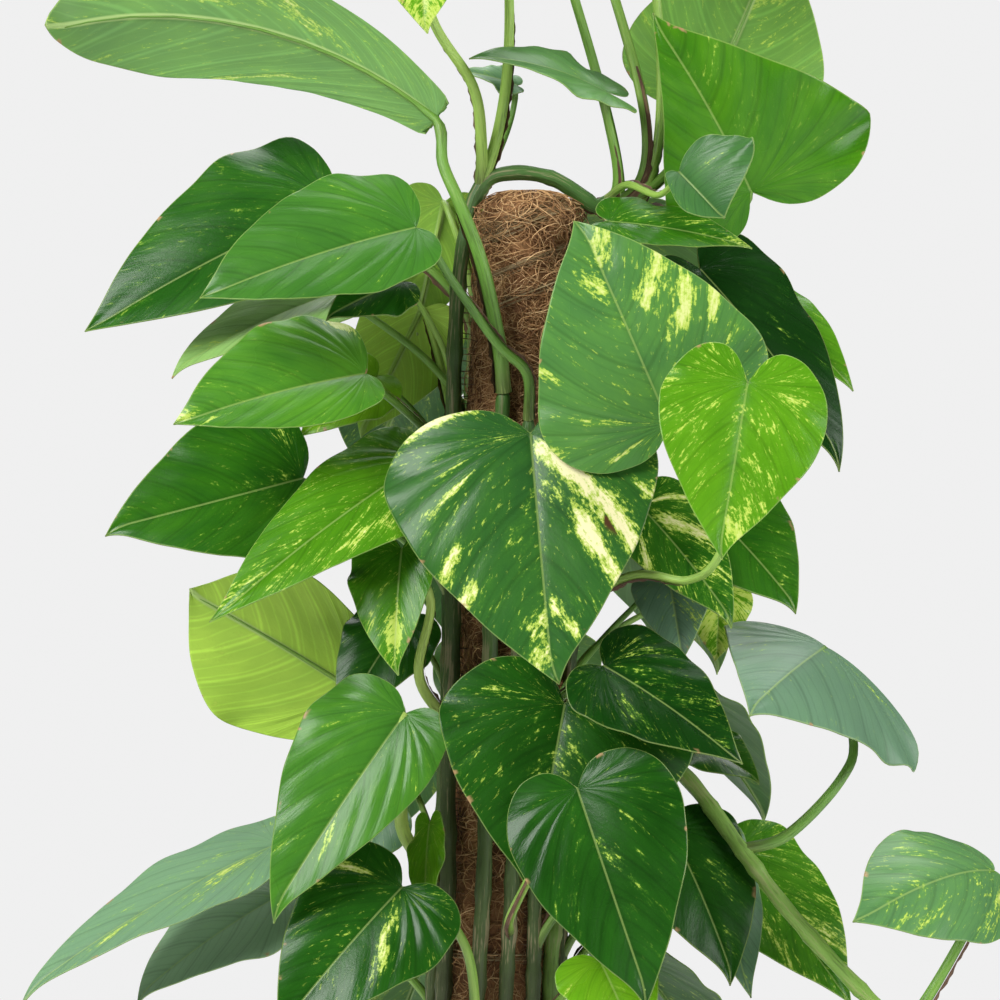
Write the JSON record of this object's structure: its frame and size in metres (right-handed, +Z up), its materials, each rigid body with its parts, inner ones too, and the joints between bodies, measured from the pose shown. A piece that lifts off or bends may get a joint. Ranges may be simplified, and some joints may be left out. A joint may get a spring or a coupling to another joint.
{
  "type": "potted pothos",
  "caption": "Climbing pothos on a coir pole in a round pot, with heart-shaped marbled leaves on long stalks all round.",
  "frame": {"origin": "centre of the pot's foot, on the surface that the pot stands on", "axes": "+Z up, +X to the plant's right as seen from its front, and -Y towards the front"},
  "size_m": [0.601, 0.3786, 1.1282],
  "materials": {
    "pot_plastic": "dark grey satin nursery plastic",
    "potting_soil": "dark crumbly potting mix",
    "stake_wood": "plain sawn wood, hidden in the coir",
    "coir_fibre": "rough matted coir fibre",
    "leafy_stem": "waxy green leaves marbled with cream and lime"
  },
  "bodies": {
    "root": {"pot": "pot_plastic", "soil": "potting_soil", "pole_stake": "stake_wood", "coir_sleeve": "coir_fibre", "vine_over_top": "leafy_stem", "vine_front": "leafy_stem", "vine_centre": "leafy_stem", "vine_right_front": "leafy_stem", "vine_trailing": "leafy_stem", "vine_right": "leafy_stem", "vine_left": "leafy_stem", "vine_left_back": "leafy_stem", "vine_back_left": "leafy_stem", "vine_back": "leafy_stem", "vine_back_right": "leafy_stem", "vine_low": "leafy_stem", "vine_low_right": "leafy_stem"}
  },
  "joints": []
}
